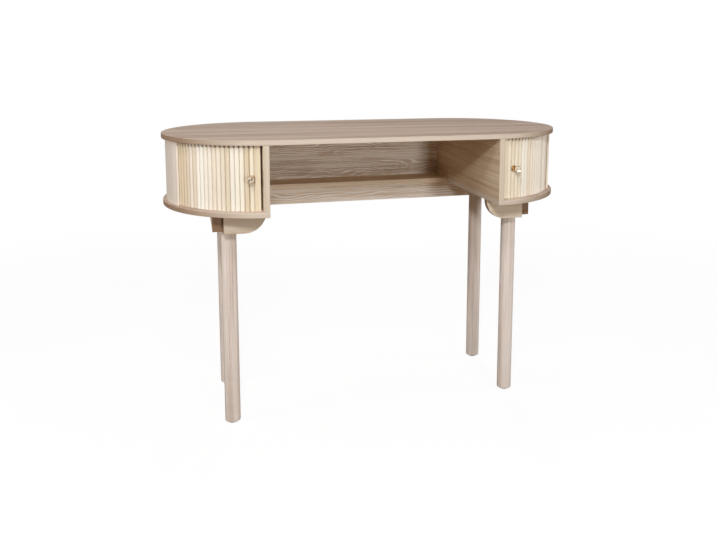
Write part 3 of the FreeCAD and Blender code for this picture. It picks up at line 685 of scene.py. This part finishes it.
# Lamps: place and aim in metres, width in metres and power in watts
LAMPS = {
    "low_key_lamp": ((-0.6, -2.25, 1.74), (0, 0, 0.65), 0.25, 24),
    "high_key_lamp": ((-0.5, -1.6, 2.3), (0, 0, 0.65), 0.25, 9.5),
    "low_fill_lamp": ((0.65, -3.6, 0.95), (0, 0, 0.65), 0.35, 33),
    "left_lamp": ((-3.0, -0.5, 1.2), (0, 0, 0.6), 1.2, 27),
    "right_lamp": ((3.0, -0.8, 1.2), (0, 0, 0.6), 1.2, 17),
    "overhead_lamp": ((0.2, 0.5, 2.6), (0, 0, 0.76), 1.2, 8),
    "rear_lamp": ((0.8, 3.2, 0.45), (0, 0, 0.6), 0.5, 55),
}


def seen_by_camera(tree):
    """1 for rays that show the studio to the camera, straight or through gloss and glass."""
    path = add(tree, "ShaderNodeLightPath")
    rays = {0: path.outputs["Is Glossy Ray"], 1: path.outputs["Is Transmission Ray"]}
    mirrored = add(tree, "ShaderNodeMath", rays, operation="MAXIMUM")
    rays = {0: path.outputs["Is Camera Ray"], 1: mirrored}
    return add(tree, "ShaderNodeMath", rays, operation="MAXIMUM")


def studio_floor():
    """White floor: it keeps the desk's soft shadow and turns to plain white a few metres out."""
    bm = bmesh.new()
    bmesh.ops.create_grid(bm, x_segments=1, y_segments=1, size=FLOOR_HALF_SIZE)
    mesh = bpy.data.meshes.new("studio_floor")
    bm.to_mesh(mesh)
    bm.free()
    floor = bpy.data.objects.new("studio_floor", mesh)
    bpy.context.scene.collection.objects.link(floor)
    material, tree, source = new_material("white_studio_floor")
    away = add(tree, "ShaderNodeVectorMath", {0: source.outputs["Object"]}, operation="LENGTH")
    ends = {"Value": away.outputs["Value"], "From Min": FLOOR_NEAR, "From Max": FLOOR_FAR}
    far = add(tree, "ShaderNodeMapRange", ends)
    white = add(tree, "ShaderNodeEmission", {"Color": linear(STUDIO_WHITE), "Strength": 1.0})
    pale = add(tree, "ShaderNodeEmission", {"Color": linear(STUDIO_WHITE), "Strength": FLOOR_PALENESS})
    matt = add(tree, "ShaderNodeBsdfDiffuse", {"Color": linear(FLOOR_SHADOW_TONE)})
    near = add(tree, "ShaderNodeAddShader", {0: pale, 1: matt})
    shown = add(tree, "ShaderNodeMixShader", {0: far, 1: near, 2: white})
    lit = add(tree, "ShaderNodeBsdfDiffuse", {"Color": linear(FLOOR_BOUNCE_TONE)})
    both = add(tree, "ShaderNodeMixShader", {0: seen_by_camera(tree), 1: lit, 2: shown})
    add(tree, "ShaderNodeOutputMaterial", {"Surface": both})
    mesh.materials.append(material)


def white_surround():
    """World that is white to the camera and lights the desk dimly from all sides."""
    world = bpy.data.worlds.new("white_surround")
    bpy.context.scene.world = world
    world.use_nodes = True
    tree = world.node_tree
    tree.nodes.clear()
    dim = add(tree, "ShaderNodeBackground", {"Color": linear(DIM_TONE), "Strength": DIM_STRENGTH})
    white = add(tree, "ShaderNodeBackground", {"Color": linear(STUDIO_WHITE), "Strength": 1.0})
    both = add(tree, "ShaderNodeMixShader", {0: seen_by_camera(tree), 1: dim, 2: white})
    add(tree, "ShaderNodeOutputWorld", {"Surface": both})


def softbox(name, place, aim, width, power):
    """A square lamp at a place, turned to a point."""
    lamp = bpy.data.lights.new(name, "AREA")
    lamp.size = width
    lamp.energy = power
    box = bpy.data.objects.new(name, lamp)
    box.location = place
    box.rotation_euler = (Vector(aim) - Vector(place)).to_track_quat("-Z", "Y").to_euler()
    bpy.context.scene.collection.objects.link(box)


def photo_camera():
    """Camera at the photograph's place and turn."""
    across_floor = math.cos(CAMERA_PITCH)
    ahead = Vector(
        (math.sin(CAMERA_YAW) * across_floor, math.cos(CAMERA_YAW) * across_floor, -math.sin(CAMERA_PITCH))
    )
    level = Vector((math.cos(CAMERA_YAW), -math.sin(CAMERA_YAW), 0))
    above = level.cross(ahead)
    right = math.cos(CAMERA_ROLL) * level + math.sin(CAMERA_ROLL) * above
    up = math.cos(CAMERA_ROLL) * above - math.sin(CAMERA_ROLL) * level
    data = bpy.data.cameras.new("photo_camera")
    data.sensor_width = SENSOR_MM
    data.lens = FOCAL_PX / FRAME_WIDTH_PX * SENSOR_MM
    data.shift_x = -CENTRE_SHIFT_X_PX / FRAME_WIDTH_PX
    data.shift_y = CENTRE_SHIFT_Y_PX / FRAME_WIDTH_PX
    view = bpy.data.objects.new("photo_camera", data)
    view.matrix_world = Matrix.Translation(CAMERA_PLACE) @ Matrix((right, up, -ahead)).transposed().to_4x4()
    bpy.context.scene.collection.objects.link(view)
    bpy.context.scene.camera = view


studio_floor()
white_surround()
for name, lamp in LAMPS.items():
    softbox(name, *lamp)
photo_camera()
bpy.context.scene.view_settings.view_transform = "Standard"
